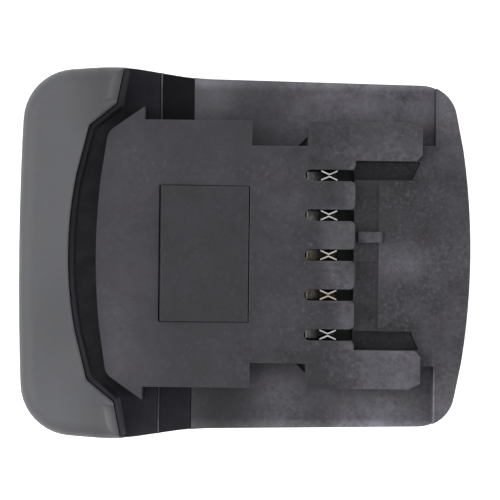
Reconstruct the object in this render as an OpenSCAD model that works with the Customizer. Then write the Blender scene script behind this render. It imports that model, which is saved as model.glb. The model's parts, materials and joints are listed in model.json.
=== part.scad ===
// Slide-in tool battery adapter, in millimetres.
// +Z is up, +X is the way the adapter slides into the tool, and the origin is the middle of the base.
// The top carries the pack's rails, latch and spring contacts. The underside is a receiver for
// another pack, with guide lips and blade terminals.

/* [Body] */
// Overall length, from the front of the grip to the tip of the nose
body_length = 91; // [86:1:100]
// Width across the top of the grip
grip_width = 74.2; // [73:0.2:79]
// How far each side of the grip leans out on its way down to the shoulders
side_lean = 0.8; // [0.2:0.1:1.2]
// Width of the grip at its front corners
front_width = 71.8; // [69:0.2:73]
// Width of the main body behind the grip
body_width = 71.4; // [70:0.2:73]
// Width of the body at the nose
nose_width = 69.4; // [68:0.2:71]
// Thickness of the shell walls
wall = 2.4; // [2:0.1:2.8]
// Radius of the grip's front corners
grip_corner = 10.5; // [6:0.5:11]
// Radius of the nose corners
nose_corner = 7.4; // [4:0.2:9]
// How far the front face bulges in plan
front_crown = 1; // [0.4:0.1:2]
// How far the nose bulges in plan
nose_crown = 4.2; // [1.5:0.1:4.5]
// Rounding along the top of the grip
grip_round = 3.2; // [2:0.2:4]
// Chamfer along the middle of the grip's rear edge
rear_bevel = 0.4; // [0.3:0.1:1.2]
// Chamfer along the rear edges of the grip's wings
wing_bevel = 1.8; // [1:0.1:2.2]

/* [Heights] */
// Base to the ceiling of the battery channel
channel_height = 14; // [12.5:0.5:17]
// Thickness of the floor over the battery channel
floor_thickness = 2.5; // [2.2:0.1:3.2]
// Depth of the lower shell's tray, from its floor to the parting line
tray_depth = 3.5; // [3.2:0.1:5]
// Parting line to the shoulders beside the rails
shoulder_rise = 8.5; // [8:0.1:10]
// Shoulders to the deck at the nose
deck_rise = 5; // [4.5:0.1:5.5]
// Free height under the rails
rail_gap = 6; // [5.5:0.1:7]
// Thickness of the rails
rail_thickness = 3.5; // [3:0.1:4]
// Thickness of the plate over the latch and of the deck
plate_thickness = 3; // [2.4:0.1:3.2]
// How far the grip stands above the rail plate
grip_rise = 5; // [3.5:0.1:7]

/* [Tool side] */
// Width across the rails
plate_width = 53.6; // [52.6:0.2:56]
// How far the rails overhang the stem
rail_undercut = 4.5; // [4.2:0.1:4.9]
// Clear width between the rail arms at the contact bay
bay_width = 38; // [36.6:0.2:38.4]
// Depth of the grip at its middle, front to back
grip_depth = 9.9; // [9.7:0.1:12]
// Width of the groove between the grip and the rail plate
groove_width = 5.3; // [5:0.1:6.5]
// Width of that groove at its slanted corners
groove_corner = 3.6; // [3:0.1:4.4]
// How far the groove's front wall bulges in plan
groove_crown = 3.9; // [3:0.1:5]
// How far the front edge of the plate bulges in plan
plate_crown = 2.2; // [1.4:0.1:3]
// Half width of the plate's front edge, between its slanted corners
plate_front_half = 24.3; // [22.5:0.1:25.5]
// Front edge of the plate to the shoulder that stops the tool's rails
shoulder_length = 9.5; // [8.6:0.1:11]
// How far that shoulder reaches past the rails
ear_reach = 2.6; // [2:0.1:3.4]
// Shoulder to the seam behind the front cover
seam_offset = 2.9; // [2.7:0.1:4]
// Shoulder to the open end of the contact slots
rail_front = 42.4; // [41.8:0.1:44]
// Shoulder to the notches in the rails
notch_start = 21.6; // [21:0.1:24]
// Length of the notches in the rails
notch_length = 11.3; // [9:0.1:12]
// Depth of the notches, in from the edge of the rails
notch_depth = 5; // [4.6:0.1:5.3]
// Length of the raised nose
nose_length = 7.6; // [6.8:0.1:8.6]
// How far the raised nose is drawn in from the sides below it
nose_inset = 0.3; // [0.2:0.1:0.6]
// Gap between the ends of the rails and the nose
rail_end_gap = 2.9; // [2.4:0.1:4]
// Chamfer on the ends of the rails
rail_chamfer = 1.2; // [1:0.1:2]
// Length of that chamfer along the rails' outer edges
rail_lead = 2.6; // [1:0.1:3]
// Width of the guide grooves along the inside of the rails
guide_width = 3.7; // [3.2:0.1:4]
// Length of the guide grooves
guide_length = 11.7; // [10:0.1:12.5]
// Depth of the guide grooves below the deck
guide_depth = 5.3; // [4:0.1:5.5]
// Length of the sunk strip in front of the contact slots
strip_length = 5; // [4:0.1:6]
// Depth of that strip
strip_depth = 1.2; // [0.8:0.1:1.5]
// Height of the coding key above the strip
key_height = 2.4; // [1.5:0.1:3.5]
// Thickness of the rubber damper and pads
pad_thickness = 1; // [0.8:0.1:1.2]
// Thickness of the rubber liner on the groove's front wall
liner_thickness = 0.5; // [0.4:0.05:0.7]
// Chamfers of the grip to the top of that liner
liner_drop = 0.2; // [0.1:0.1:2]
// Length of the rubber pads behind the seam
pad_length = 6.5; // [6:0.1:9]
// Height of the shadow gap along the parting line
parting_gap = 0.5; // [0.3:0.1:0.8]
// Depth of that gap
parting_depth = 0.5; // [0.3:0.1:0.8]
// Width of the rib that parts the damper from the pads
seam_rib = 0.35; // [0.3:0.05:0.6]

/* [Contacts] */
// Number of contact slots
contact_count = 5; // [5:1:5]
// Distance between neighbouring slots
contact_pitch = 8; // [7.6:0.1:8.2]
// Width of a slot
slot_width = 2.3; // [2.1:0.1:2.6]
// Length of a slot
slot_length = 10; // [9:0.1:10.8]
// Radius on the corners of the fingers between the slots
finger_round = 1; // [0.6:0.1:1.2]
// Height of the block that the slots are cut in
contact_block_height = 8.5; // [8:0.1:9.5]
// Thickness of the contact metal
leaf_thickness = 0.3; // [0.25:0.05:0.5]
// Length of the crossed leaves
leaf_span = 3.3; // [2.8:0.1:3.8]
// Gap between the leaves where they pinch a blade
leaf_gap = 0.1; // [0.08:0.02:0.3]
// How far the leaves end below the plate
contact_drop = 1.4; // [1:0.1:2.2]
// How far the back of a contact ends below its leaves
spine_drop = 3; // [0.6:0.1:5]
// Open end of a slot to the middle of the leaves
contact_setback = 5.2; // [4.8:0.1:5.6]
// Contact block to the top of the circuit board
board_gap = 4.5; // [4:0.1:4.6]
// Thickness of the circuit board
board_thickness = 1.6; // [1:0.2:1.6]
// Gap between the circuit board and the ribs behind it
board_end_gap = 0.6; // [0.4:0.1:2]
// Width of the circuit board
board_width = 37.2; // [35.5:0.1:38]

/* [Latch] */
// Length of the latch, from its free end to its hinge
latch_length = 17.8; // [17:0.1:18]
// Width of the latch
latch_width = 27.2; // [25:0.2:27.6]
// How far the free end stands above the plate
latch_lift = 1; // [0.8:0.1:1.2]
// Gap at the free end of the latch
latch_gap = 0.5; // [0.5:0.05:0.9]
// How far the plate's edge leans over that gap at the top
latch_overhang = 0.25; // [0.1:0.05:0.25]
// Gap along the sides of the latch and behind its hinge
latch_side_gap = 0.1; // [0.1:0.05:0.5]
// Diameter of the hinge pin
pin_d = 2; // [1.6:0.1:2.2]
// Diameter of the hinge knuckle
knuckle_d = 4.2; // [3.8:0.1:4.4]
// Depth of the hinge axis below the plate
pin_depth = 2.6; // [2.4:0.1:3]
// Distance between the latch's two legs
leg_spacing = 17; // [14:0.5:19]
// Width of each leg
leg_width = 2.6; // [2:0.1:3.2]
// Diameter of the latch spring
latch_spring_d = 6; // [5:0.2:7]
// Number of turns in the latch spring
latch_spring_turns = 9; // [7:1:10]

/* [Release button] */
// Width of the button's face
button_width = 30; // [26:0.5:33]
// Height of the button's face
button_height = 14; // [12:0.5:14.5]
// How far the face sits inside the grip
button_recess = 0.4; // [0.3:0.1:1]
// Depth of the button's cap
button_depth = 4.2; // [3.8:0.1:4.2]
// Travel of the button
button_travel = 2.5; // [2:0.1:2.5]
// Height of the arms that push the latch
arm_height = 3.2; // [2.6:0.1:3.4]
// Diameter of the button spring
button_spring_d = 4.2; // [3.6:0.2:4.4]
// Number of turns in the button spring
button_spring_turns = 5; // [4:1:6]
// Wire diameter of both springs
spring_wire = 0.55; // [0.4:0.05:0.6]

/* [Battery side] */
// Clear width of the battery channel
channel_width = 62; // [60:0.5:63]
// How far the lips reach inward
lip_reach = 4; // [3:0.1:4.5]
// Thickness of the lips
lip_thickness = 3; // [2.4:0.1:3.6]
// End of the channel to the tip of the nose
channel_end = 11.5; // [10.5:0.1:12]
// Length of the terminal block, along the channel
block_length = 9; // [8.6:0.1:9.6]
// Width of the terminal block
block_width = 36; // [34:0.5:36.5]
// How far the terminal block hangs into the channel
block_drop = 9.5; // [9:0.1:10.5]
// Thickness of the terminal block's flange
flange_thickness = 2; // [1.6:0.1:2.4]
// Ends of the terminal block to the power blades
power_inset = 4.5; // [3.5:0.1:5.5]
// Power blades to the signal blades
blade_pitch = 9; // [8:0.1:9.6]
// How far the power blades stick out
blade_reach = 10; // [8:0.5:12]
// Height of the power blades
blade_height = 6; // [5:0.1:6.4]
// Thickness of the power blades
blade_thickness = 0.8; // [0.6:0.1:1]
// Length of the notch for the battery's own latch
catch_length = 6.8; // [5:0.1:7.5]
// Width of that notch
catch_width = 18; // [14:0.5:22]
// Depth of that notch
catch_depth = 4.5; // [4.2:0.1:4.6]
// Front of the body to the notch
catch_setback = 12.1; // [10:0.1:13]

/* [Fasteners] */
// Diameter of the housing screws
screw_d = 2.9; // [2.5:0.1:3]
// Diameter of their heads
screw_head_d = 5.5; // [4.8:0.1:5.6]
// Height of their heads
screw_head_h = 2; // [1.6:0.1:2.2]
// Length of their shanks
screw_length = 9.6; // [8.5:0.1:9.8]
// Distance between the two rows of housing screws
screw_row_spacing = 48; // [47:0.2:49]
// Front of the body to the cover screws
cover_screw_setback = 7; // [6.6:0.1:7.4]
// Diameter of the board screws
board_screw_d = 1.8; // [1.6:0.1:2]
// Diameter of the board screws' heads
board_head_d = 3.8; // [3.2:0.1:4]
// Height of the board screws' heads
board_head_h = 1.4; // [1:0.1:1.5]
// Reach of the board screws above the board
board_screw_reach = 5.5; // [4.8:0.1:6.5]
// Diameter of the power wires
power_wire_d = 2.4; // [1.8:0.1:2.6]
// Diameter of the signal wires
signal_wire_d = 1.3; // [1:0.1:1.6]

/* [Clearances] */
// Gap between fixed pieces that fit into each other
fit_gap = 0.15; // [0.1:0.01:0.2]
// Gap round a pin, a screw or a blade in its own hole
running_gap = 0.05; // [0.03:0.01:0.08]
// Gap round the button and between its arms and the latch
button_gap = 0.3; // [0.25:0.05:0.4]

/* [Hidden] */
$fn = 48;
big = 100;
overlap = 0.1;

// Heights of the main levels
z_ceiling = channel_height;
z_floor = z_ceiling + floor_thickness;
z_part = z_floor + tray_depth;
z_shoulder = z_part + shoulder_rise;
z_ledge = z_shoulder - pad_thickness;
z_deck = z_shoulder + deck_rise;
z_strip = z_deck - strip_depth;
z_rail = z_shoulder + rail_gap;
z_plate = z_rail + rail_thickness;
z_grip = z_plate + grip_rise;
z_block = z_plate - contact_block_height;
z_board = z_block - board_gap;
z_pin = z_plate - pin_depth;
z_flange = z_floor + flange_thickness;

// Places along the body
x_front = -body_length / 2;
x_nose = body_length / 2;
x_grip = x_front + grip_depth;
x_plate = x_grip + groove_width;
x_ear = x_plate + shoulder_length;
x_seam = x_ear + seam_offset;
x_pad_end = x_seam + seam_rib + pad_length;
x_latch = x_seam;
x_free = x_latch + latch_gap;
x_window = x_latch + latch_overhang;
x_hinge_end = x_free + latch_length;
x_pin = x_hinge_end - knuckle_d / 2;
x_window_end = x_hinge_end + latch_side_gap;
x_notch = x_ear + notch_start;
x_notch_end = x_notch + notch_length;
x_bay = x_ear + rail_front;
x_slot = x_bay - slot_length;
x_contact = x_bay - contact_setback;
x_block_front = x_slot - wall;
x_nose_wall = x_nose - nose_length;
x_rail = x_nose_wall - rail_end_gap;
x_core = x_plate + wall + plate_crown;
x_stop = x_nose - channel_end;
x_terminal = x_stop - wall / 2 - block_length;
x_tail = x_terminal + wall;
x_board_end = x_stop - wall / 2 - board_end_gap;
x_pad = (x_block_front + x_slot) / 2;
x_catch = x_front + catch_setback;

// Half widths
plate_half = plate_width / 2;
stem_half = plate_half - rail_undercut;
ear_half = plate_half + ear_reach;
bay_half = bay_width / 2;
strip_half = bay_half - guide_width;
slot_half = slot_width / 2;
window_half = latch_width / 2 + latch_side_gap;
channel_half = channel_width / 2;
screw_row = screw_row_spacing / 2;

// Where the grip is widest and where the body settles to its own width
x_widest = x_ear - 5.2;
x_waist = x_ear + 10;
// Widest part of the whole body, from the shoulders down
hip_width = grip_width + 2 * side_lean;
// Each change of slope along the sides is an arc that begins and ends this far from it
slope_blend = 4;
// Share of each end that is drawn as a bulge, the rest being its rounded corners
crown_share = 0.62;
crown_steps = 6;

// Groove between the grip and the plate: the root of the grip's wings and how far back their tips lie
wing_root = [x_ear - groove_width - 0.2, ear_half + 0.3];
wing_lean = 1.5;
wing_slope = wing_lean / (grip_width / 2 - wing_root[1]);
z_liner = z_grip - max(rear_bevel, wing_bevel) - liner_drop;
plate_corner_round = 3;

// Screws: the front pair holds the cover, the other two pairs hold the shells together
boss_r = screw_d / 2 + 1.75;
seat_r = screw_head_d / 2 + 1.45;
z_seat = z_ceiling + screw_head_h + 0.4;
x_screw_front = x_front + cover_screw_setback;
x_screw_mid = x_seam + wall + boss_r - 0.4;
x_screw_rear = x_terminal + 6.5;
pilot_end = z_seat + screw_length + 0.6;
board_screw_x = x_contact;
board_screw_y = 1.5 * contact_pitch;
board_boss_r = board_screw_d / 2 + 1.2;
peg_r = board_head_d / 2;

// Button and latch drive
x_face = x_front + button_recess;
x_cap = x_face + button_depth;
z_button_top = z_grip - wall - 4;
z_button = z_button_top - button_height;
stop_lip = 1.2;
lip_depth = 1.4;
lip_share = (button_width / 2 + stop_lip) / (front_width / 2 - wall);
x_stop_lip = x_front + wall + fit_gap + front_crown * pow(lip_share, 2);
z_arm = z_part + 0.8;
z_arm_mid = z_arm + arm_height / 2;
arm_tip = x_free - button_gap;
leg_y = leg_spacing / 2;
leg_depth = 2.4;
bar_depth = 2;
x_bar = x_grip - 3.4;
spring_seat_x = (x_free + x_pin) / 2 - 1.2;

// Contact metal
leaf_out = slot_half - 0.08;
spine_x = x_slot + 0.4;
foot_half = slot_half - 0.1;

// Terminals
z_blade = z_ceiling - block_drop + 2.2;
signal_height = blade_height - 2;
signal_reach = blade_reach - 2;
power_y = block_width / 2 - power_inset;
signal_y = power_y - blade_pitch;
tail_length = 4;
tail_rise = 5;
z_wire = z_floor + tail_rise - 1.3;

plastic = "#4a4a4d";
dark_plastic = "#3a3a3d";
rubber = "#1c1c1f";
steel = "#b9bcc0";
tin = "#cfd0cf";
brass = "#c9a44c";

// Helpers

function unit(v) = v / norm(v);
function turned(v, a) = [v[0] * cos(a) - v[1] * sin(a), v[0] * sin(a) + v[1] * cos(a)];
function flat(p) = [p[0], p[1]];

// The points that round the corner b between a and c with radius r
function corner(a, b, c, r) =
    r <= 0 ? [b] :
    let (
        steps = r > 4 ? 10 : 5,
        u = unit(a - b),
        v = unit(c - b),
        half = acos(max(-1, min(1, u * v))) / 2,
        middle = b + unit(u + v) * r / sin(half),
        start = b + u * r / tan(half) - middle,
        sweep = sign(cross(b - a, c - b)) * (180 - 2 * half)
    )
    [for (i = [0:steps]) middle + turned(start, sweep * i / steps)];

// A polygon from corners given as [x, y, radius]
function rounded(p) = let (n = len(p))
    [for (i = [0:n - 1]) each corner(flat(p[(i + n - 1) % n]), flat(p[i]), flat(p[(i + 1) % n]), p[i][2])];

// A half outline with y over 0, closed by its mirror image
function mirrored(p) = concat(p, [for (i = [len(p) - 1:-1:0]) if (p[i][1] > 0) [p[i][0], -p[i][1], p[i][2]]]);

// A bulging end at x, from its middle out to a share of its half width
function crown(x, bulge, half) = [for (i = [0:crown_steps])
    let (s = crown_share * i / crown_steps) [x + bulge * s * s, half * s, 0]];
function backward(p) = [for (i = [len(p) - 1:-1:0]) p[i]];

// Plan of the whole body, drawn in by d, whose widest place is w across.
// The sides rise to that place, fall to the waist and taper to the nose.
function outline(d, w) =
    let (
        rise = atan((w - front_width) / 2 / (x_widest - x_front - front_crown)),
        fall = atan((w - body_width) / 2 / (x_waist - x_widest)),
        taper = atan((body_width - nose_width) / 2 / (x_nose - nose_crown - x_waist)),
        peak_round = slope_blend / tan((rise + fall) / 2),
        waist_round = slope_blend / tan((fall - taper) / 2),
        // How far the two slopes cross above the rounded widest place
        peak_lift = peak_round * (cos((rise - fall) / 2) / cos((rise + fall) / 2) - 1)
    )
    rounded(mirrored(concat(
        crown(x_front + d, front_crown, front_width / 2 - d),
        [[x_front + d + front_crown, front_width / 2 - d, grip_corner - d],
         [x_widest, w / 2 + peak_lift - d, peak_round],
         [x_waist, body_width / 2 - d, waist_round],
         [x_nose - d - nose_crown, nose_width / 2 - d, nose_corner - d]],
        backward(crown(x_nose - d, -nose_crown, nose_width / 2 - d)))));

// Plan of the plate's front end and its shoulders up to x_end, grown by d
function shoulder(d, x_end) = rounded(mirrored(concat(
    crown(x_plate - d, plate_crown, plate_front_half + d),
    [[x_plate - d + plate_crown, plate_front_half + d, plate_corner_round],
     [x_ear - d, ear_half + d, 0],
     [x_end, ear_half + d, 0]])));

// Plan of all that lies behind the grip's rear edge, grown by d
function behind_grip(d) = rounded(mirrored(concat(
    crown(x_grip - d, groove_crown, plate_front_half + 1 + d / 2),
    [[x_plate + plate_crown - groove_corner - d, plate_front_half + 1 + d / 2, 1],
     [wing_root[0] - d, wing_root[1] + d / 2, 1],
     [wing_root[0] + wing_slope * (big - wing_root[1]) - d, big, 0],
     [x_nose, big, 0]])));

module box(x0, x1, y0, y1, z0, z1) {
    translate([x0, y0, z0]) cube([x1 - x0, y1 - y0, z1 - z0]);
}

module centred(x0, x1, half, z0, z1) {
    box(x0, x1, -half, half, z0, z1);
}

module slab(points, z0, z1) {
    translate([0, 0, z0]) linear_extrude(z1 - z0) polygon(points);
}

module both_sides() {
    children();
    mirror([0, 1, 0]) children();
}

// A stretch of the body's plan from x0 to x1, drawn in by d
module body_slab(d, z0, z1, x0, x1, w = hip_width) {
    intersection() {
        slab(outline(d, w), z0, z1);
        centred(x0, x1, big, z0 - 1, z1 + 1);
    }
}

module post(x, y, r, z0, z1) {
    translate([x, y, z0]) cylinder(r = r, h = z1 - z0);
}

// A profile in X and Z, given depth along Y about y
module profile(points, y, depth) {
    translate([0, y, 0]) rotate([90, 0, 0]) linear_extrude(depth, center = true) polygon(points);
}

module rod_y(x, z, r, length) {
    translate([x, 0, z]) rotate([90, 0, 0]) cylinder(r = r, h = length, center = true);
}

// A tube through rings of points, closed at both ends
module tube(rings) {
    n = len(rings[0]);
    last = len(rings) - 1;
    polyhedron(
        points = [for (r = rings) each r],
        faces = concat(
            [[for (i = [0:n - 1]) i]],
            [for (k = [0:last - 1], i = [0:n - 1]) each
                let (a = k * n + i, b = k * n + (i + 1) % n) [[a, a + n, b + n], [a, b + n, b]]],
            [[for (i = [n - 1:-1:0]) last * n + i]]));
}

// A coil spring standing on the origin, whose wire has six sides
module coil(d, length, turns) {
    r = (d - spring_wire) / 2;
    steps = 12;
    rise = (length - spring_wire) / (turns * 360);
    gap = rise * 360 - spring_wire;
    echo(gap_between_turns = gap);
    tube([for (k = [0:turns * steps])
        let (a = 360 * k / steps, z = spring_wire / 2 + rise * a)
        [for (i = [0:5]) let (b = 60 * i, q = r + spring_wire / 2 * cos(b))
            [q * cos(a), q * sin(a), z + spring_wire / 2 * sin(b)]]]);
}

// A short wire at y, from the front of a tail to the underside of the board, on one smooth curve
module link_wire(y, d) {
    start = [x_tail - overlap, z_wire];
    end = [x_pad, z_board - board_thickness - overlap];
    bend = [end[0], start[1]];
    hold = bend + [d * 1.4, 0];
    steps = 20;
    sides = 8;
    function at(t) = pow(1 - t, 3) * start + 3 * pow(1 - t, 2) * t * hold + 3 * (1 - t) * t * t * bend
        + pow(t, 3) * end;
    function along(t) = unit(pow(1 - t, 2) * (hold - start) + 2 * (1 - t) * t * (bend - hold)
        + t * t * (end - bend));
    tube([for (k = [0:steps])
        let (p = at(k / steps), u = along(k / steps))
        [for (i = [0:sides - 1]) let (a = 360 * i / sides, q = d / 2 * cos(a))
            [p[0] - u[1] * q, y + d / 2 * sin(a), p[1] + u[0] * q]]]);
}

// Shells

module rail_plan() {
    polygon([for (p = mirrored([[x_ear - overlap, plate_half, 0], [x_rail - rail_lead, plate_half, 0],
        [x_rail, plate_half - rail_chamfer, 0]])) flat(p)]);
}

module upper_solid() {
    body_slab(0, z_part, z_shoulder, x_seam, big);
    slab(shoulder(0, x_seam + overlap), z_part, z_ledge);
    slab(shoulder(0, x_ear), z_ledge - overlap, z_plate);
    centred(x_ear - overlap, x_rail, stem_half, z_part, z_rail + overlap);
    translate([0, 0, z_rail]) linear_extrude(rail_thickness) rail_plan();
    body_slab(nose_inset, z_shoulder - overlap, z_deck, x_nose_wall, big);
    centred(x_bay - overlap, x_nose_wall + overlap, stem_half, z_part, z_deck);
}

module upper_cavity() {
    below = z_part - 1;
    body_slab(wall, below, z_shoulder - wall, x_seam + wall, big);
    centred(x_core, x_block_front, stem_half - wall, below, z_plate - plate_thickness);
    centred(x_block_front - overlap, x_bay, stem_half - wall, below, z_block);
    centred(x_bay - overlap, x_nose_wall + wall + overlap, strip_half - wall / 2, below,
        z_deck - plate_thickness);
    body_slab(wall, below, z_deck - plate_thickness, x_nose_wall + wall, big);
}

// Bosses for the hinge pin, the housing screws, the board and the terminal block's clamp
module upper_bosses() {
    both_sides() {
        box(x_pin - knuckle_d / 2, x_pin + knuckle_d / 2, window_half, window_half + wall + 1,
            z_pin - knuckle_d / 2, z_plate - 1);
        for (x = [x_screw_mid, x_screw_rear]) post(x, screw_row, boss_r, z_part, z_shoulder - wall + overlap);
        post(board_screw_x, board_screw_y, board_boss_r, z_board, z_block + overlap);
        post(x_board_end - wall, contact_pitch, peg_r, z_board, z_deck - plate_thickness + overlap);
        box(x_stop - wall / 2, x_stop + wall / 4, signal_y, power_y,
            z_flange, z_deck - plate_thickness + overlap);
    }
}

// Opening for the latch, undercut at the free end so that the latch clears it as it dips
module latch_window() {
    z_below = z_plate - plate_thickness - 1;
    z_above = z_plate + 1;
    undercut_depth = 1.4;
    profile([[x_latch, z_below], [x_window_end, z_below], [x_window_end, z_above], [x_window, z_above],
        [x_window, z_plate], [x_latch, z_plate - undercut_depth]], 0, 2 * window_half);
}

// The space between the rail arms, wider at their chamfered ends
module bay_space() {
    centred(x_bay, x_nose_wall, bay_half, z_deck, z_plate + 1);
    both_sides() slab([[x_rail - rail_chamfer, bay_half - overlap], [x_rail - rail_chamfer, bay_half],
        [x_rail + 1, bay_half + rail_chamfer + 1], [x_rail + 1, bay_half - overlap]], z_deck, z_plate + 1);
}

module slot_plan(y) {
    flare = finger_round + 0.3;
    polygon(rounded([[x_bay + 0.5, y + slot_half + flare, 0], [x_bay, y + slot_half + flare, 0],
        [x_bay, y + slot_half, finger_round], [x_bay - slot_length / 2, y + slot_half, 0],
        [x_bay - slot_length / 2, y - slot_half, 0], [x_bay, y - slot_half, finger_round],
        [x_bay, y - slot_half - flare, 0], [x_bay + 0.5, y - slot_half - flare, 0]]));
}

module contact_slots() {
    for (i = [0:contact_count - 1]) {
        y = (i - (contact_count - 1) / 2) * contact_pitch;
        box(x_slot + slot_half, x_bay, y - slot_half, y + slot_half, z_block - 1, z_plate + 1);
        post(x_slot + slot_half, y, slot_half, z_block - 1, z_plate + 1);
        translate([0, 0, z_strip]) linear_extrude(big) slot_plan(y);
    }
}

module guide_grooves() {
    slant = 1.6;
    both_sides() slab([[x_bay, strip_half], [x_bay, bay_half], [x_bay + guide_length + slant, bay_half],
        [x_bay + guide_length, strip_half]], z_deck - guide_depth, z_plate + 1);
}

module rail_notches() {
    pocket = 2.2;
    both_sides() {
        box(x_notch, x_notch_end, plate_half - notch_depth, plate_half + 1, z_shoulder, z_plate + 1);
        slab([[x_notch_end - pocket, plate_half - notch_depth], [x_notch_end, plate_half - notch_depth],
            [x_notch_end, plate_half - notch_depth + pocket]], z_shoulder - wall / 2, z_shoulder + 1);
    }
}

// Tool-side housing: rails, plate, contact slots, deck and nose
module upper_shell() {
    color(plastic) difference() {
        union() {
            difference() {
                upper_solid();
                upper_cavity();
                bay_space();
            }
            upper_bosses();
            box(x_bay + 0.8, x_bay + strip_length + 0.6, contact_pitch / 2 - 1.4, contact_pitch / 2 + 0.8,
                z_strip - overlap, z_strip + key_height);
        }
        difference() {
            centred(x_bay, x_bay + strip_length, strip_half, z_strip, z_deck + overlap);
            box(x_bay + 0.8, x_nose, contact_pitch / 2 - 1.4, contact_pitch / 2 + 0.8, 0, z_plate);
        }
        box(x_bay + 0.4, x_bay + strip_length - 0.9, -contact_pitch - 1, -1.3,
            z_strip - 0.4, z_strip + overlap);
        contact_slots();
        guide_grooves();
        rail_notches();
        latch_window();
        rod_y(x_pin, z_pin, pin_d / 2 + running_gap, 2 * (window_half + wall));
        both_sides() {
            box(x_seam + seam_rib, x_pad_end, stem_half, big, z_ledge, z_shoulder + rail_gap / 2);
            box(x_plate - 1, x_core + 1, leg_y - leg_width / 2 - 0.5, leg_y + leg_width / 2 + 0.5,
                z_part - 1, z_arm + arm_height + 0.6);
            for (x = [x_screw_mid, x_screw_rear])
                post(x, screw_row, screw_d / 2 + running_gap, z_part - 1, pilot_end);
            post(board_screw_x, board_screw_y, board_screw_d / 2 + running_gap, z_board - 1,
                z_board + board_screw_reach + 0.5);
        }
    }
}

// Battery-side housing: guide lips, channel, catch notch and the tray that the inner pieces sit in
module lower_shell() {
    lead = 4;
    color(plastic) difference() {
        union() {
            difference() {
                union() {
                    slab(outline(0, hip_width), 0, z_part - parting_gap);
                    slab(outline(parting_depth, hip_width), z_part - parting_gap - overlap, z_part);
                }
                centred(x_front - 1, x_stop, channel_half, lip_thickness, z_ceiling);
                centred(x_front - 1, x_stop, channel_half - lip_reach, -1, lip_thickness + overlap);
                body_slab(wall, z_floor, z_part + 1, -big, big);
                body_slab(wall, lip_thickness, z_part + 1, x_stop + wall, big);
                both_sides() slab([[x_front - 1, channel_half], [x_front - 1, channel_half - lip_reach - 1],
                    [x_front + lead, channel_half - lip_reach - 1],
                    [x_front + lead, channel_half - lip_reach]],
                    -1, lip_thickness + overlap);
            }
            both_sides() for (x = [x_screw_front, x_screw_mid, x_screw_rear])
                post(x, screw_row, seat_r, z_ceiling, z_part);
            centred(x_catch - 1.5, x_catch + catch_length + 1.5, catch_width / 2 + 1.5, z_ceiling, z_part);
            post(spring_seat_x, 0, latch_spring_d / 2 - spring_wire - 0.4, z_floor - overlap, z_floor + 2.5);
        }
        centred(x_catch, x_catch + catch_length, catch_width / 2, z_ceiling - 1, z_ceiling + catch_depth);
        centred(x_terminal - fit_gap, x_terminal + block_length + fit_gap, block_width / 2 + fit_gap,
            z_ceiling - 1, z_floor + 1);
        both_sides() for (x = [x_screw_front, x_screw_mid, x_screw_rear]) {
            post(x, screw_row, screw_head_d / 2 + 0.3, z_ceiling - 1, z_seat);
            post(x, screw_row, screw_d / 2 + 0.2, z_ceiling, z_part + 1);
        }
    }
}

// The grip's outer form: leaning sides, and a top edge rounded in four steps
module grip_form() {
    steps = 4;
    hull() {
        body_slab(0, z_part, z_shoulder, x_front - 1, x_seam);
        for (i = [0:steps]) {
            a = 90 * i / steps;
            top = z_grip - grip_round * (1 - sin(a));
            body_slab(grip_round * (1 - cos(a)), top - overlap, top, x_front - 1, x_seam, grip_width);
        }
    }
}

// A sloping cut along the grip's rear top edge, over one convex stretch of its plan
module rear_chamfer(size, y0, y1) {
    function part(d) = [for (p = behind_grip(d)) if (p[1] >= y0 && p[1] <= y1) p];
    hull() {
        slab(concat(part(0), [[x_nose, y1], [x_nose, y0]]), z_grip - size, z_grip - size + overlap / 2);
        slab(concat(part(size), [[x_nose, y1], [x_nose, y0]]), z_grip + overlap, z_grip + 2 * overlap);
    }
}

// Grip and front cover, with the button's window
module front_cover() {
    color(plastic) difference() {
        union() {
            difference() {
                grip_form();
                slab(behind_grip(0), z_ledge, z_grip + 1);
                rear_chamfer(rear_bevel, -wing_root[1], wing_root[1]);
                both_sides() rear_chamfer(wing_bevel, wing_root[1], big);
                difference() {
                    body_slab(wall, z_part - 1, z_grip - wall, -big, x_seam - wall, grip_width);
                    slab(behind_grip(wall), z_ledge - wall, z_grip + 1);
                }
            }
            both_sides() post(x_screw_front, screw_row, boss_r, z_part, z_grip - wall + overlap);
        }
        slab(shoulder(fit_gap, x_seam + 1), z_part - 1, z_ledge + 1);
        centred(x_front - 1, x_front + wall + front_crown, button_width / 2 + button_gap,
            z_button - button_gap, z_button_top + button_gap);
        both_sides() post(x_screw_front, screw_row, screw_d / 2 + running_gap, z_part - 1, pilot_end);
    }
}

// Rubber

// U-shaped damper that lines the groove round the plate's front end
module damper_strip() {
    color(rubber) difference() {
        intersection() {
            body_slab(fit_gap, z_ledge, z_shoulder, -big, x_seam - fit_gap);
            slab(behind_grip(-fit_gap), z_ledge - 1, z_shoulder + 1);
        }
        slab(shoulder(fit_gap, x_ear + fit_gap), z_ledge - 1, z_shoulder + 1);
        centred(x_ear - 1, x_seam + 1, stem_half + fit_gap, z_ledge - 1, z_shoulder + 1);
    }
}

// Upright liner on the groove's front wall and on the rear faces of the grip's wings
module groove_liner() {
    color(rubber) difference() {
        intersection() {
            body_slab(2 * fit_gap, z_shoulder, z_liner, -big, x_seam, grip_width);
            slab(behind_grip(-fit_gap), z_ledge, z_grip);
        }
        slab(behind_grip(-fit_gap - liner_thickness), z_ledge - 1, z_grip + 1);
    }
}

// One pad on each shoulder behind the seam
module side_pads() {
    color(rubber) both_sides() intersection() {
        body_slab(fit_gap, z_ledge, z_shoulder, x_seam + seam_rib + fit_gap, x_pad_end - fit_gap);
        box(-big, big, stem_half + fit_gap, big, z_ledge - 1, z_shoulder + 1);
    }
}

// Latch and release

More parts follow.
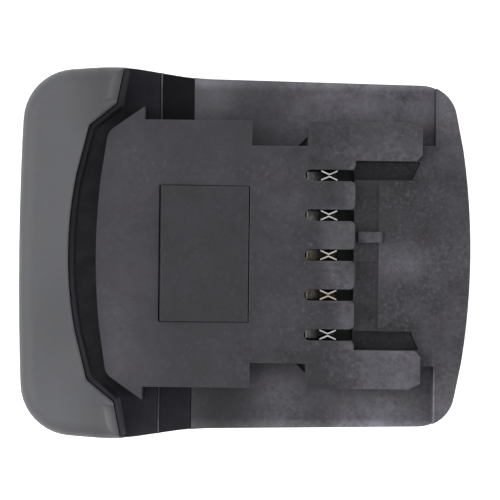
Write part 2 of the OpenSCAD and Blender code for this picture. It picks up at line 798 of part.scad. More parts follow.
// Hinged latch whose legs are pushed by the button
module latch() {
    knuckle_r = knuckle_d / 2;
    z_top = z_plate + latch_lift;
    z_under = z_plate - plate_thickness;
    nick = 0.3;
    x_end = x_hinge_end - 0.1;
    color(dark_plastic) difference() {
        union() {
            profile([[x_end, z_pin], [x_end, z_plate], [x_free + nick, z_top], [x_free, z_top - nick],
                [x_free, z_under], [x_pin, z_pin - knuckle_r / 2]], 0, latch_width);
            rod_y(x_pin, z_pin, knuckle_r, latch_width);
            for (s = [-1, 1]) profile([[x_free, z_arm - 0.2], [x_free + leg_depth, z_arm - 0.2],
                [x_free + leg_depth + 1, z_under + overlap], [x_free, z_under + overlap]],
                s * leg_y, leg_width);
        }
        rod_y(x_pin, z_pin, pin_d / 2 + running_gap, latch_width + 1);
    }
}

module latch_pin() {
    color(steel) rod_y(x_pin, z_pin, pin_d / 2, 2 * (window_half + wall) - 2 * fit_gap);
}

module latch_spring() {
    under_free = z_plate - plate_thickness;
    under_pin = z_pin - knuckle_d / 4;
    reach = (spring_seat_x + latch_spring_d / 2 - x_free) / (x_pin - x_free);
    top = under_free + (under_pin - under_free) * reach - fit_gap;
    color(steel) translate([spring_seat_x, 0, z_floor])
        coil(latch_spring_d, top - z_floor, latch_spring_turns);
}

// Push button with two arms that reach back to the latch
module release_button() {
    half = button_width / 2;
    ridges = 5;
    pitch = (button_height - 4) / (ridges - 1);
    color(dark_plastic) difference() {
        union() {
            centred(x_face, x_cap, half, z_button, z_button_top);
            both_sides() {
                box(x_stop_lip, x_cap, half - overlap, half + stop_lip, z_button + 1, z_button_top - 1);
                box(x_cap - lip_depth, arm_tip - arm_height / 2, leg_y - leg_width / 2, leg_y + leg_width / 2,
                    z_arm, z_arm + arm_height);
                translate([arm_tip - arm_height / 2, leg_y, z_arm_mid]) rotate([90, 0, 0])
                    cylinder(d = arm_height, h = leg_width, center = true);
            }
            centred(x_bar - bar_depth, x_bar, leg_y, z_arm, z_arm + arm_height);
            centred(x_cap - lip_depth, x_cap, leg_y + leg_width / 2, z_arm, z_button + 2);
        }
        centred(x_face + 1.8, x_cap + 1, half - 1.8, z_button + 2.4, z_button_top - 1.8);
        for (i = [0:ridges - 1]) centred(x_face - 1, x_face + 0.5, half - 3,
            z_button + 2 + i * pitch - 0.5, z_button + 2 + i * pitch + 0.5);
    }
}

module button_spring() {
    length = x_plate - x_bar - 2 * fit_gap;
    color(steel) translate([x_bar + fit_gap, 0, z_arm_mid]) rotate([0, 90, 0])
        coil(button_spring_d, length, button_spring_turns);
}

// Tool-side contacts and board

// Spring contact whose two leaves cross like an X, seen from above
module contact_clip(i) {
    y = ((contact_count + 1) / 2 - i) * contact_pitch;
    half = leaf_span / 2;
    pinch = leaf_gap / 2;
    z_top = z_plate - contact_drop;
    color(i == 3 || i == 4 ? brass : tin) translate([0, y, 0]) {
        both_sides() slab([[x_contact - half, leaf_out - leaf_thickness], [x_contact, pinch],
            [x_contact + half, leaf_out - leaf_thickness], [x_contact + half, leaf_out],
            [x_contact, pinch + leaf_thickness], [x_contact - half, leaf_out]], z_board, z_top);
        centred(spine_x, x_contact + half, foot_half, z_board, z_board + leaf_thickness);
        centred(spine_x, spine_x + leaf_thickness, leaf_out - leaf_thickness, z_board, z_top - spine_drop);
    }
}

module circuit_board() {
    color("#1f4a33") difference() {
        centred(x_block_front, x_board_end, board_width / 2, z_board - board_thickness, z_board);
        both_sides()
            post(board_screw_x, board_screw_y, board_screw_d / 2 + fit_gap, z_board - 3, z_board + 1);
    }
}

module id_resistor() {
    top = z_board - board_thickness;
    color("#222222") centred(x_bay + 1, x_bay + 4.2, 0.8, top - 0.6, top);
}

// Battery-side terminals

module blade_plan(reach, height, grow) {
    front = x_terminal - reach;
    back = x_tail + tail_length + grow;
    nose = 1;
    top = z_blade + height;
    profile([[front, z_blade + nose], [front + nose, z_blade - grow], [back, z_blade - grow],
        [back, z_floor + tail_rise], [x_tail - grow, z_floor + tail_rise], [x_tail - grow, top + grow],
        [front + nose, top + grow], [front, top - nose]], 0, blade_thickness + 2 * grow);
}

module blade(y, reach, height, finish) {
    color(finish) translate([0, y, 0]) blade_plan(reach, height, 0);
}

// Moulded block that hangs through the floor and holds the blades
module terminal_block() {
    color(dark_plastic) difference() {
        union() {
            centred(x_terminal, x_terminal + block_length, block_width / 2, z_ceiling - block_drop, z_flange);
            centred(x_terminal - 1.2, x_stop + wall / 4, block_width / 2 + 1.2, z_floor, z_flange);
        }
        for (y = [-power_y, power_y]) translate([0, y, 0])
            blade_plan(blade_reach, blade_height, running_gap);
        for (y = [-signal_y, signal_y]) translate([0, y, 0])
            blade_plan(signal_reach, signal_height, running_gap);
    }
}

module wire(y, d, cover) {
    color(cover) link_wire(y, d);
}

// Fasteners

module housing_screw(x, y) {
    slot = 0.9;
    z_head = z_seat - screw_head_h;
    translate([x, y, 0]) difference() {
        union() {
            post(0, 0, screw_head_d / 2, z_head, z_seat);
            post(0, 0, screw_d / 2, z_seat - overlap, z_seat + screw_length - 1);
            translate([0, 0, z_seat + screw_length - 1]) cylinder(r1 = screw_d / 2, r2 = screw_d / 4, h = 1);
        }
        for (a = [0, 90]) rotate(a)
            centred(-screw_head_d / 3, screw_head_d / 3, slot / 2, z_head - 1, z_head + 1.2);
    }
}

module housing_screws() {
    color(steel) for (x = [x_screw_mid, x_screw_rear], y = [-screw_row, screw_row]) housing_screw(x, y);
}

module cover_screws() {
    color(steel) for (y = [-screw_row, screw_row]) housing_screw(x_screw_front, y);
}

module board_screws() {
    z_under = z_board - board_thickness;
    color(steel) both_sides() {
        post(board_screw_x, board_screw_y, board_head_d / 2, z_under - board_head_h, z_under);
        post(board_screw_x, board_screw_y, board_screw_d / 2, z_under - overlap, z_board + board_screw_reach);
    }
}

upper_shell();
lower_shell();
front_cover();
damper_strip();
groove_liner();
side_pads();
latch();
latch_pin();
latch_spring();
release_button();
button_spring();
contact_clip(1);  // contact_clip_1
contact_clip(2);  // contact_clip_2
contact_clip(3);  // contact_clip_3
contact_clip(4);  // contact_clip_4
contact_clip(5);  // contact_clip_5
circuit_board();
id_resistor();
terminal_block();
blade(power_y, blade_reach, blade_height, brass);  // blade_positive
blade(-power_y, blade_reach, blade_height, brass);  // blade_negative
blade(signal_y, signal_reach, signal_height, brass);  // blade_signal_1
blade(-signal_y, signal_reach, signal_height, brass);  // blade_signal_2
wire(power_y, power_wire_d, "#b3201d");  // wire_positive
wire(-power_y, power_wire_d, "#1a1a1a");  // wire_negative
wire(signal_y, signal_wire_d, "#d8d8d2");  // wire_signal_1
wire(-signal_y, signal_wire_d, "#d8b629");  // wire_signal_2
housing_screws();
cover_screws();
board_screws();
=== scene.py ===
"""Looks for the tool battery adapter: finishes, smooth shading, a white studio and the camera."""

import json
import math

import bpy
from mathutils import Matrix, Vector


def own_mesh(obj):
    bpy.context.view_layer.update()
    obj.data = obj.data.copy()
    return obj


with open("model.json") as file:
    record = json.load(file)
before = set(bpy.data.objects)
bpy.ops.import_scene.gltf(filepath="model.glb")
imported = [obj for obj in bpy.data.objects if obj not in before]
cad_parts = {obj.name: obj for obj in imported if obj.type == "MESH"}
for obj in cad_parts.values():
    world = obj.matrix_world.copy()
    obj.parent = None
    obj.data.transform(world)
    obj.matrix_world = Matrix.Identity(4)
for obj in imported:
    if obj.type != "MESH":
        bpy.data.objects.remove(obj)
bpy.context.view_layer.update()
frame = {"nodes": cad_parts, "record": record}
nodes = frame["nodes"]

MM = 0.001
PLATE_TOP = 38 * MM

# Camera: straight above the plate, at the photograph's scale and small turn
IMAGE_PX = 500
PX_PER_MM = 4.99
CENTRE_PX = (246.9, 254.2)
CAMERA_HEIGHT = 500 * MM
CAMERA_TURN = math.radians(0.66)
CAMERA_NEAR = 10 * MM
SENSOR_MM = 36

# Area lights that aim at the plate: name, position, width and height in metres, power in watts
LIGHTS = (
    ("overhead", (0, 0, 1.2), (0.7, 0.7), 1.2),
    ("left", (-0.75, -0.1, 0.8), (0.8, 0.9), 6.5),
    ("back", (0.1, 0.95, 0.45), (0.7, 0.3), 2),
    ("right", (0.9, -0.1, 0.35), (0.3, 0.7), 3),
)
WORLD_STRENGTH = 0.5

# Floor: a plane just under the object
FLOOR_SIZE = 6
FLOOR_DROP = 0.5 * MM
FLOOR_COLOUR = (0.85, 0.85, 0.85, 1)
FLOOR_ROUGHNESS = 0.9
FLOOR_GLOW = 0.75

# Shading: faces that meet at less than these angles are one flat face, or one round face
FLAT_ANGLE = math.radians(0.5)
ROUND_ANGLE = math.radians(32)
COIL_ANGLE = math.radians(80)
WELD_REACH = 1e-6
FACE_WEIGHT = 80

# The cosines between which the turn of a rounded normal counts as an edge
EDGE_COSINES = (0.99, 0.85)
BEVEL_SAMPLES = 6

# The range in which most of a noise lies
NOISE_MIDDLE = (0.35, 0.65)

# The share of its reach within which a soft spot is full
SPOT_CORE = 0.1


# Small helpers for building node materials

class Shader:
    """One procedural material, with short calls for the nodes that the finishes share."""

    def __init__(self, name):
        self.material = bpy.data.materials.new(name)
        self.material.use_nodes = True
        self.tree = self.material.node_tree
        self.surface = self.tree.nodes["Principled BSDF"]
        self.place = self.node("ShaderNodeTexCoord").outputs["Object"]

    def node(self, kind, **values):
        made = self.tree.nodes.new(kind)
        for key, value in values.items():
            setattr(made, key, value)
        return made

    def link(self, source, target):
        self.tree.links.new(source, target)

    def feed(self, target, value):
        """Links a socket to the target, or sets the target to a constant."""
        if isinstance(value, bpy.types.NodeSocket):
            self.link(value, target)
        else:
            target.default_value = value

    def math(self, operation, *values):
        made = self.node("ShaderNodeMath", operation=operation)
        for socket, value in zip(made.inputs, values):
            self.feed(socket, value)
        return made.outputs["Value"]

    def vector(self, operation, *values):
        """The outputs of a vector sum, where lengths and dot products are under Value."""
        made = self.node("ShaderNodeVectorMath", operation=operation)
        for socket, value in zip(made.inputs, values):
            self.feed(socket, value)
        return made.outputs

    def share(self, vector, axis):
        """One coordinate of a vector."""
        parts = self.node("ShaderNodeSeparateXYZ")
        self.link(vector, parts.inputs["Vector"])
        return parts.outputs[axis]

    def noise(self, size, detail=4.0, roughness=0.55, stretch=(1, 1, 1)):
        """Noise whose features are about this large, in metres, as a value about 0.5."""
        scale = self.node("ShaderNodeMapping")
        scale.inputs["Scale"].default_value = stretch
        self.link(self.place, scale.inputs["Vector"])
        noise = self.node("ShaderNodeTexNoise")
        noise.inputs["Scale"].default_value = 1 / size
        noise.inputs["Detail"].default_value = detail
        noise.inputs["Roughness"].default_value = roughness
        self.link(scale.outputs["Vector"], noise.inputs["Vector"])
        return noise.outputs["Fac"]

    def ramp(self, value, low, high, to_low=0.0, to_high=1.0):
        """Maps a range of a value to another range, and holds the ends."""
        mapped = self.node("ShaderNodeMapRange", clamp=True)
        mapped.inputs["From Min"].default_value = low
        mapped.inputs["From Max"].default_value = high
        mapped.inputs["To Min"].default_value = to_low
        mapped.inputs["To Max"].default_value = to_high
        self.link(value, mapped.inputs["Value"])
        return mapped.outputs["Result"]

    def mix(self, factor, a, b, blend="MIX"):
        """Blends two colours, each a tuple or a socket, by a value or fully where there is none."""
        made = self.node("ShaderNodeMix", data_type="RGBA", blend_type=blend)
        self.feed(made.inputs["Factor"], 1 if factor is None else factor)
        for name, value in (("A", a), ("B", b)):
            socket = next(s for s in made.inputs if s.name == name and s.type == "RGBA")
            self.feed(socket, (*value, 1) if isinstance(value, tuple) else value)
        return next(s for s in made.outputs if s.type == "RGBA")

    def times(self, colour, factor):
        """A colour made lighter or darker by a value."""
        made = self.node("ShaderNodeVectorMath", operation="SCALE")
        self.feed(made.inputs["Vector"], colour)
        self.link(factor, made.inputs["Scale"])
        return made.outputs["Vector"]

    def product(self, *factors):
        total = factors[0]
        for factor in factors[1:]:
            total = self.math("MULTIPLY", total, factor)
        return total

    def waver(self, *parts):
        """1 plus each noise about its middle, times its strength, which is a number or a socket."""
        total = 1.0
        for noise, strength in parts:
            swing = self.math("MULTIPLY", self.math("SUBTRACT", noise, 0.5), strength)
            total = self.math("ADD", swing, total)
        return total

    def faded(self, factor, amount):
        """A factor that falls back to 1 where the amount is 0."""
        change = factor - 1 if isinstance(factor, float) else self.math("SUBTRACT", factor, 1)
        return self.math("ADD", self.math("MULTIPLY", change, amount), 1)

    def across(self, axis, low, high, to_low=0.0, to_high=1.0):
        """A value that changes along an axis of the shared frame, between places in millimetres."""
        return self.ramp(self.share(self.place, axis), low * MM, high * MM, to_low, to_high)

    def sideways(self, low, high, to_low=0.0, to_high=1.0):
        """A value that changes with the distance from the middle plane, in millimetres."""
        away = self.math("ABSOLUTE", self.share(self.place, "Y"))
        return self.ramp(away, low * MM, high * MM, to_low, to_high)

    def between(self, axis, low, high, soft):
        """1 between two places along an axis and 0 outside, in millimetres."""
        rise = self.across(axis, low - soft, low)
        fall = self.across(axis, high + soft, high)
        return self.product(rise, fall)

    def spot(self, x, y, reach_x, reach_y):
        """1 about a place in plan, falling smoothly to 0 at its reach, in millimetres."""
        away = self.vector("SUBTRACT", self.place, (x * MM, y * MM, 0))["Vector"]
        per_reach = (1 / (reach_x * MM), 1 / (reach_y * MM), 0)
        reached = self.vector("MULTIPLY", away, per_reach)["Vector"]
        amount = self.ramp(self.vector("LENGTH", reached)["Value"], 1.0, SPOT_CORE)
        amount.node.interpolation_type = "SMOOTHSTEP"
        return amount

    def facing(self, axis, low, high):
        """0 to 1 as a face turns towards an axis, by its normal's share along it."""
        normal = self.node("ShaderNodeNewGeometry").outputs["Normal"]
        return self.ramp(self.share(normal, axis), low, high)

    def rounded(self, radius):
        """The surface normal, with edges rounded for the eye."""
        made = self.node("ShaderNodeBevel", samples=BEVEL_SAMPLES)
        made.inputs["Radius"].default_value = radius
        return made.outputs["Normal"]

    def edges(self, reach, strength):
        """The strength along edges, 0 further than the reach away from them."""
        normal = self.node("ShaderNodeNewGeometry").outputs["Normal"]
        turn = self.vector("DOT_PRODUCT", self.rounded(reach), normal)["Value"]
        return self.ramp(turn, *EDGE_COSINES, 0.0, strength)

    def bump(self, height, distance, strength, under=None):
        """The normal of a bumpy surface, over another normal where there is one."""
        made = self.node("ShaderNodeBump")
        made.inputs["Distance"].default_value = distance
        made.inputs["Strength"].default_value = strength
        self.link(height, made.inputs["Height"])
        if under is not None:
            self.link(under, made.inputs["Normal"])
        return made.outputs["Normal"]

    def set(self, **values):
        """Sets the surface's own sockets, by names with underscores for spaces."""
        for key, value in values.items():
            name = key.replace("_", " ").title().replace("Ior", "IOR")
            self.feed(self.surface.inputs[name], value)
        return self.material


def scaled(colour, factor):
    """A constant colour made lighter or darker."""
    return tuple(min(1.0, c * factor) for c in colour)


# Painted light and shade: how light the housing and the grip are painted. Places are in millimetres
# of the shared frame. A change is two places and the factor at each, and a start is two places
# between which an area begins.

# Soft spots of painted light and shade, paler or darker: x, y, reach along x and along y, factor
PLATE_PAINTED_SPOTS = (
    (-1.0, 0.0, 6.0, 45.0, 0.84),
    (6.0, 13.0, 9.0, 15.0, 1.1),
    (-27.0, -20.0, 10.0, 16.0, 1.35),
)
DECK_PAINTED_SPOTS = (
    (31.0, -1.2, 10.0, 5.5, 1.5),
    (33.0, 8.5, 18.0, 9.0, 0.75),
    (42.0, -13.0, 9.0, 12.0, 1.18),
)
SHOULDER_PAINTED_SPOTS = (
    (-8.5, 31.0, 8.0, 10.0, 1.5),
    (2.5, 31.0, 8.0, 10.0, 0.85),
    (26.0, 30.0, 22.0, 12.0, 1.7),
    (37.0, 28.0, 7.0, 12.0, 1.4),
    (6.0, 24.0, 9.0, 5.0, 1.25),
    (-4.5, -31.5, 11.0, 13.0, 0.44),
    (6.0, -32.0, 7.0, 8.0, 1.2),
    (6.0, -25.0, 9.0, 7.0, 1.6),
    (27.0, -33.0, 14.0, 9.0, 1.75),
    (36.5, -22.0, 4.0, 5.0, 1.6),
)
GRIP_PAINTED_SPOTS = ((-37.0, -13.0, 8.0, 14.0, 0.88),)

# Levels along Z: the start of the plate, and the lower end, upper end and fade of the others
PLATE_LEVEL = (36.5, 37.5)
KEY_LEVEL = (34.5, 34.9, 0.2)
DECK_LEVEL = (33.3, 33.7, 0.3)
NOSE_WALL_LEVEL = (28.8, 33.8, 0.2)
SHOULDER_LEVEL = (28.4, 28.7, 0.2)

# The plate's painted light and shade, with an arm at each side and the fingers between the slots
PLATE_TO_BACK = (-30, -15, 1.2, 0.85)
ARM_START = (18.8, 19.2)
UPPER_ARM_ROOT = (10, 14)
UPPER_ARM_TO_TIP = (14, 28, 1.0, 1.95)
UPPER_ARM_TO_SIDE = (21, 24, 1.0, 0.75)
LOWER_ARM_TO_TIP = ((4, 13, 1.0, 0.75), (16, 25, 1.0, 2.6), (25, 34, 1.0, 1.15))
FINGER_ROOT = (9, 13)
FINGER_TIP = (17, 20.5)
INNER_FINGERS = (10, 9)
INNER_FINGER_TIP = (14, 17)
FINGER_FACTORS = (0.9, 1.85)

# The deck between the guide grooves and the nose's corners, the nose's wall and the coding key,
# with painted shade by the grooves and painted light at the corners, on the wall and on the key
NOSE_START = (36, 39)
NOSE_TO_CORNER = (17, 29, 1.0, 1.8)
BEFORE_NOSE = (36, 34)
GROOVE_EDGE = (12.5, 15.3, 1.0, 0.6)
NOSE_WALL = (37.6, 38.2, 0.1)
NOSE_WALL_START = (-20, -24)
NOSE_WALL_FACTOR = 2.2
KEY_SPOT = (24.7, 3.7, 4.5, 3.0)
KEY_FACTOR = 1.5

# The shoulders, painted paler towards their sides and with a painted highlight along their outer
# edges
SHOULDER_TO_SIDE = (20, 34, 1.15, 1.4)
SHOULDER_EDGE = (33.4, 34.9, 1.0, 1.9)

# The grip's wings, with a ridge and a chamfer at their ends: painted shade and painted highlights
WING_START = (20, 27)
WING_TO_END = (-37, -28, 1.0, 0.74)
UPPER_WING_TO_END = (-37, -28, 1.0, 0.86)
RIDGE_START = (27, 29)
RIDGE_TO_END = (-29.2, -27.2, 1.0, 1.2)
CHAMFER_START = (29.6, 30.6)
CHAMFER_FOOT = (40.6, 41.0)
CHAMFER_TILT = (0.3, 0.6)
CHAMFER_TO_TOP = (41.2, 42.7, 0.45, 1.25)
CHAMFER_TO_LOWER_END = (0, -30, 1.0, 1.2)
GRIP_TO_LOWER_END = (-22, -33, 1.0, 1.12)
# Where the grip's pale edges of wear and painted highlight are fainter
FAINTER_EDGE_X, FAINTER_EDGE_Z = (-31, -29.5), (40.4, 40.8)
FAINTER_EDGE_FACTOR = 0.1


def spots(s, listed):
    """All the listed soft spots as one factor."""
    return s.product(*[s.faded(factor, s.spot(*where)) for *where, factor in listed])


def plate_painted_light(s):
    """Painted light and shade on the plate: paler at the front, at the ends of its arms and at the
    tips of its fingers.
    """
    arm_in, arm_out = ARM_START
    upper_arm = s.product(s.across("X", *UPPER_ARM_TO_TIP), s.across("Y", *UPPER_ARM_TO_SIDE))
    on_upper_arm = s.product(s.across("Y", arm_in, arm_out), s.across("X", *UPPER_ARM_ROOT))
    lower_arm = s.product(*[s.across("X", *change) for change in LOWER_ARM_TO_TIP])
    on_lower_arm = s.across("Y", -arm_in, -arm_out)
    inner_tip = s.product(s.across("X", *INNER_FINGER_TIP), s.sideways(*INNER_FINGERS))
    tip = s.math("MAXIMUM", s.across("X", *FINGER_TIP), inner_tip)
    finger = s.ramp(tip, 0, 1, *FINGER_FACTORS)
    on_finger = s.product(s.across("X", *FINGER_ROOT), s.sideways(arm_out, arm_in))
    return s.product(s.across("X", *PLATE_TO_BACK), s.faded(upper_arm, on_upper_arm),
                     s.faded(lower_arm, on_lower_arm), s.faded(finger, on_finger),
                     spots(s, PLATE_PAINTED_SPOTS))


def deck_painted_light(s):
    """Painted light on the deck at the nose's corners, and painted shade beside the guide grooves.
    """
    corner = s.faded(s.sideways(*NOSE_TO_CORNER), s.across("X", *NOSE_START))
    groove_edge = s.faded(s.sideways(*GROOVE_EDGE), s.across("X", *BEFORE_NOSE))
    return s.product(corner, groove_edge, spots(s, DECK_PAINTED_SPOTS))


def shoulder_painted_light(s):
    """Painted light and shade on the shoulders, which are paler towards their outer edges."""
    return s.product(s.sideways(*SHOULDER_TO_SIDE), s.sideways(*SHOULDER_EDGE),
                     spots(s, SHOULDER_PAINTED_SPOTS))


def housing_painted_light(s):
    """Painted light and shade on each level of the housing, and painted highlights on the nose's
    lower wall and the key.
    """
    plate = s.faded(plate_painted_light(s), s.across("Z", *PLATE_LEVEL))
    deck = s.faded(deck_painted_light(s), s.between("Z", *DECK_LEVEL))
    shoulder = s.faded(shoulder_painted_light(s), s.between("Z", *SHOULDER_LEVEL))
    on_nose_wall = s.product(s.between("X", *NOSE_WALL), s.between("Z", *NOSE_WALL_LEVEL),
                             s.across("Y", *NOSE_WALL_START))
    on_key = s.product(s.between("Z", *KEY_LEVEL), s.spot(*KEY_SPOT))
    return s.product(plate, deck, shoulder, s.faded(NOSE_WALL_FACTOR, on_nose_wall),
                     s.faded(KEY_FACTOR, on_key))


def grip_painted_light(s):
    """Painted light and shade on the grip: darker wing ends, highlights on ridge and chamfer, a
    pale lower end.
    """
    wing = s.faded(s.across("X", *WING_TO_END), s.sideways(*WING_START))
    upper_wing = s.faded(s.across("X", *UPPER_WING_TO_END), s.across("Y", *WING_START))
    ridge = s.faded(s.across("X", *RIDGE_TO_END), s.sideways(*RIDGE_START))
    on_chamfer = s.product(s.facing("X", *CHAMFER_TILT), s.across("Z", *CHAMFER_FOOT),
                           s.sideways(*CHAMFER_START))
    chamfer = s.product(s.across("Z", *CHAMFER_TO_TOP), s.across("Y", *CHAMFER_TO_LOWER_END))
    return s.product(wing, upper_wing, ridge, s.faded(chamfer, on_chamfer),
                     s.across("Y", *GRIP_TO_LOWER_END), spots(s, GRIP_PAINTED_SPOTS))


def grip_edge_wear_and_highlight(s):
    """The pale edges of wear and painted highlight are fainter at the grip's wing ends, where the
    photograph is soft.
    """
    fainter_edges = s.product(s.across("X", *FAINTER_EDGE_X), s.sideways(*RIDGE_START), s.across("Z", *FAINTER_EDGE_Z))
    return s.faded(FAINTER_EDGE_FACTOR, fainter_edges)


# Finishes

# Plastic: the darkest that a patch gets, the two tints and what counts as a pale speck
DARKEST_PATCH = 0.3
WARM_TINT, COOL_TINT = (1.03, 0.985, 0.99), (0.97, 1.01, 1.01)
PALE_SPECKS = (0.6, 0.74)

# Rubber: the seam between damper and pad along X, their painted light along Y, and painted light in
# the groove
SEAM = (-18.3, -17.9)
PAD_TO_LOWER_END = (10, -10, 0.85, 2.2)
DAMPER_TO_LOWER_END = (10, -10, 2.2, 3.4)
GROOVE_LIGHT_X, GROOVE_LIGHT_Z = (-25, -30), (40, 29)
WALL_TILT = (0.5, 0.2)
WALL_FOOT_X, WALL_FOOT_Z = (-24, -26), (35, 29)
WALL_FOOT_PAINTED_LIGHT = 2.2

# Metal: the stretch of its drawn streaks, and where shade is painted deep in the slots
STREAK = (1, 1, 8)
SLOT_SHADE_TOP, SLOT_SHADE_FOOT = (36.2, 34.5), (22.0, 24.0)
SLOT_SHADE_TO_LEAVES = (13.2, 14.6, 0.58, 1.0)
SLOT_SHADE_FACTOR = 0.12

# Board: the pitch and the contrast of the glass weave, and the lacquer's colours
WEAVE_PITCH = 1.2 * MM
WEAVE_CONTRAST = (0.35, 0.65)
BOARD_DARK, BOARD_LIGHT = (0.03, 0.046, 0.038), (0.045, 0.069, 0.056)
BOARD_PATCH = (0.022, 0.034, 0.028)


def moulded_plastic(name, colour, cloudy, speckle, roughness, lightness=None, wear=None):
    """Moulded plastic: cloudy patches, a fine spark-eroded grain, pale specks and edges of wear and
    painted highlight.

    Cloudy and speckle are the strengths of the patches and of the grain, each as two places along X
    and its strength at each. Lightness is a function that makes a factor of painted light and shade
    for the colour, and the other one makes a factor for the pale edges of wear and painted
    highlight."""
    s = Shader(name)
    cloud = s.noise(12 * MM, detail=4)
    patch = s.noise(3.5 * MM, detail=5, roughness=0.6)
    speck = s.noise(0.8 * MM, detail=3, roughness=0.7)
    clouds = s.across("X", *cloudy)
    uneven = s.ramp(s.noise(9 * MM), *NOISE_MIDDLE, 0.45, 1.3)
    grain = s.product(s.across("X", *speckle), uneven)
    tone = s.waver((cloud, clouds), (patch, clouds), (speck, grain))
    shade = s.times(colour, s.math("MAXIMUM", tone, DARKEST_PATCH))
    if lightness:
        shade = s.times(shade, lightness(s))
    tint = s.mix(s.ramp(s.noise(7 * MM), *NOISE_MIDDLE), WARM_TINT, COOL_TINT)
    shade = s.mix(None, shade, tint, blend="MULTIPLY")
    dust = s.product(s.ramp(speck, *PALE_SPECKS, 0, 0.4), grain)
    shade = s.mix(dust, shade, scaled(colour, 2.4))
    # Paler edges: partly wear, partly a painted highlight along every edge
    worn_and_lit_edges = s.edges(0.4 * MM, strength=0.45)
    if wear:
        worn_and_lit_edges = s.product(worn_and_lit_edges, wear(s))
    shade = s.mix(worn_and_lit_edges, shade, scaled(colour, 2.0))
    fine = s.bump(speck, 0.03 * MM, strength=0.5, under=s.rounded(0.3 * MM))
    normal = s.bump(patch, 0.04 * MM, strength=0.5, under=fine)
    rubbed = s.math("ADD", patch, s.math("MULTIPLY", speck, 0.4))
    rough = s.ramp(rubbed, 0.45, 0.95, roughness - 0.08, roughness + 0.1)
    return s.set(base_color=shade, roughness=rough, normal=normal, specular_ior_level=0.3)


def soft_rubber(name, colour, dusty):
    """Matte black rubber: pads and a damper before the seam; painted light makes the damper greyer,
    the lower ends paler and the deep groove lighter.
    """
    s = Shader(name)
    seam_front, seam_back = SEAM
    bloom = s.noise(4 * MM, detail=6, roughness=0.7)
    pore = s.noise(0.35 * MM, detail=2)
    # Painted light: pads and damper paler towards their lower ends, and the damper paler than the
    # pads
    pad = s.faded(s.across("Y", *PAD_TO_LOWER_END), s.across("X", seam_front, seam_back))
    damper = s.faded(s.across("Y", *DAMPER_TO_LOWER_END), s.across("X", seam_back, seam_front))
    shade = s.times(colour, s.product(pad, damper))
    # Painted light on the floor and low wall of the groove, which lie in deep shade
    shade = s.mix(s.product(s.across("X", *GROOVE_LIGHT_X), s.across("Z", *GROOVE_LIGHT_Z)), shade, dusty)
    # Painted light at the foot of the groove's wall, where shade gathers
    wall_foot = s.product(s.facing("Z", *WALL_TILT), s.across("Z", *WALL_FOOT_Z),
                          s.across("X", *WALL_FOOT_X))
    shade = s.times(shade, s.faded(WALL_FOOT_PAINTED_LIGHT, wall_foot))
    shade = s.times(shade, s.waver((bloom, 1.2), (pore, 0.3)))
    shade = s.mix(s.edges(0.3 * MM, strength=0.2), shade, scaled(colour, 2.5))
    normal = s.bump(pore, 0.03 * MM, strength=0.5, under=s.rounded(0.2 * MM))
    rough = s.ramp(bloom, 0.3, 0.7, 0.82, 0.95)
    return s.set(base_color=shade, roughness=rough, normal=normal, specular_ior_level=0.12)


def sheet_metal(name, colour, tarnish, roughness, in_slots=False):
    """Rolled or plated metal with drawn streaks, tarnish, bright edges and painted shade deep in
    slots.
    """
    s = Shader(name)
    drawn = s.noise(0.6 * MM, detail=5, stretch=STREAK)
    stain = s.noise(2.2 * MM, detail=5, roughness=0.65)
    tone = s.mix(s.ramp(stain, 0.45, 0.72), colour, tarnish)
    tone = s.mix(s.edges(0.1 * MM, strength=0.5), tone, scaled(colour, 1.25))
    if in_slots:
        # Painted shade on the metal deep in the slots, in a dark shade of the tarnish
        slot_shade = s.product(s.across("Z", *SLOT_SHADE_TOP), s.across("Z", *SLOT_SHADE_FOOT),
                          s.across("X", *SLOT_SHADE_TO_LEAVES))
        tone = s.mix(slot_shade, tone, scaled(tarnish, SLOT_SHADE_FACTOR))
    rough = s.ramp(drawn, 0.3, 0.7, roughness - 0.07, roughness + 0.1)
    normal = s.bump(drawn, 0.012 * MM, strength=0.6)
    return s.set(base_color=tone, metallic=1.0, roughness=rough, normal=normal)


def lacquered_board(name):
    """Greenish black board with the weave of its glass cloth showing through the lacquer."""
    s = Shader(name)
    cloth = s.node("ShaderNodeTexWave", wave_type="BANDS", bands_direction="DIAGONAL")
    cloth.inputs["Scale"].default_value = 1 / WEAVE_PITCH
    s.link(s.place, cloth.inputs["Vector"])
    weave = cloth.outputs["Fac"]
    colour = s.mix(s.ramp(weave, 0, 1, *WEAVE_CONTRAST), BOARD_DARK, BOARD_LIGHT)
    colour = s.mix(s.ramp(s.noise(6 * MM), 0.5, 0.7, 0, 0.4), colour, BOARD_PATCH)
    normal = s.bump(weave, 0.01 * MM, strength=0.4)
    return s.set(base_color=colour, roughness=0.45, normal=normal, specular_ior_level=0.3)


def glossy_plastic(name, colour):
    """Wire insulation and the resistor's body: glossy plastic with faint scuffs."""
    s = Shader(name)
    scuff = s.noise(1.5 * MM, detail=6, roughness=0.7)
    shade = s.mix(s.ramp(scuff, 0.4, 0.65), colour, scaled(colour, 0.7))
    rough = s.ramp(scuff, 0.3, 0.7, 0.3, 0.5)
    return s.set(base_color=shade, roughness=rough, normal=s.bump(scuff, 0.02 * MM, strength=0.4))


def evenly(strength):
    """A strength that is the same all along X."""
    return (0.0, 1.0, strength, strength)


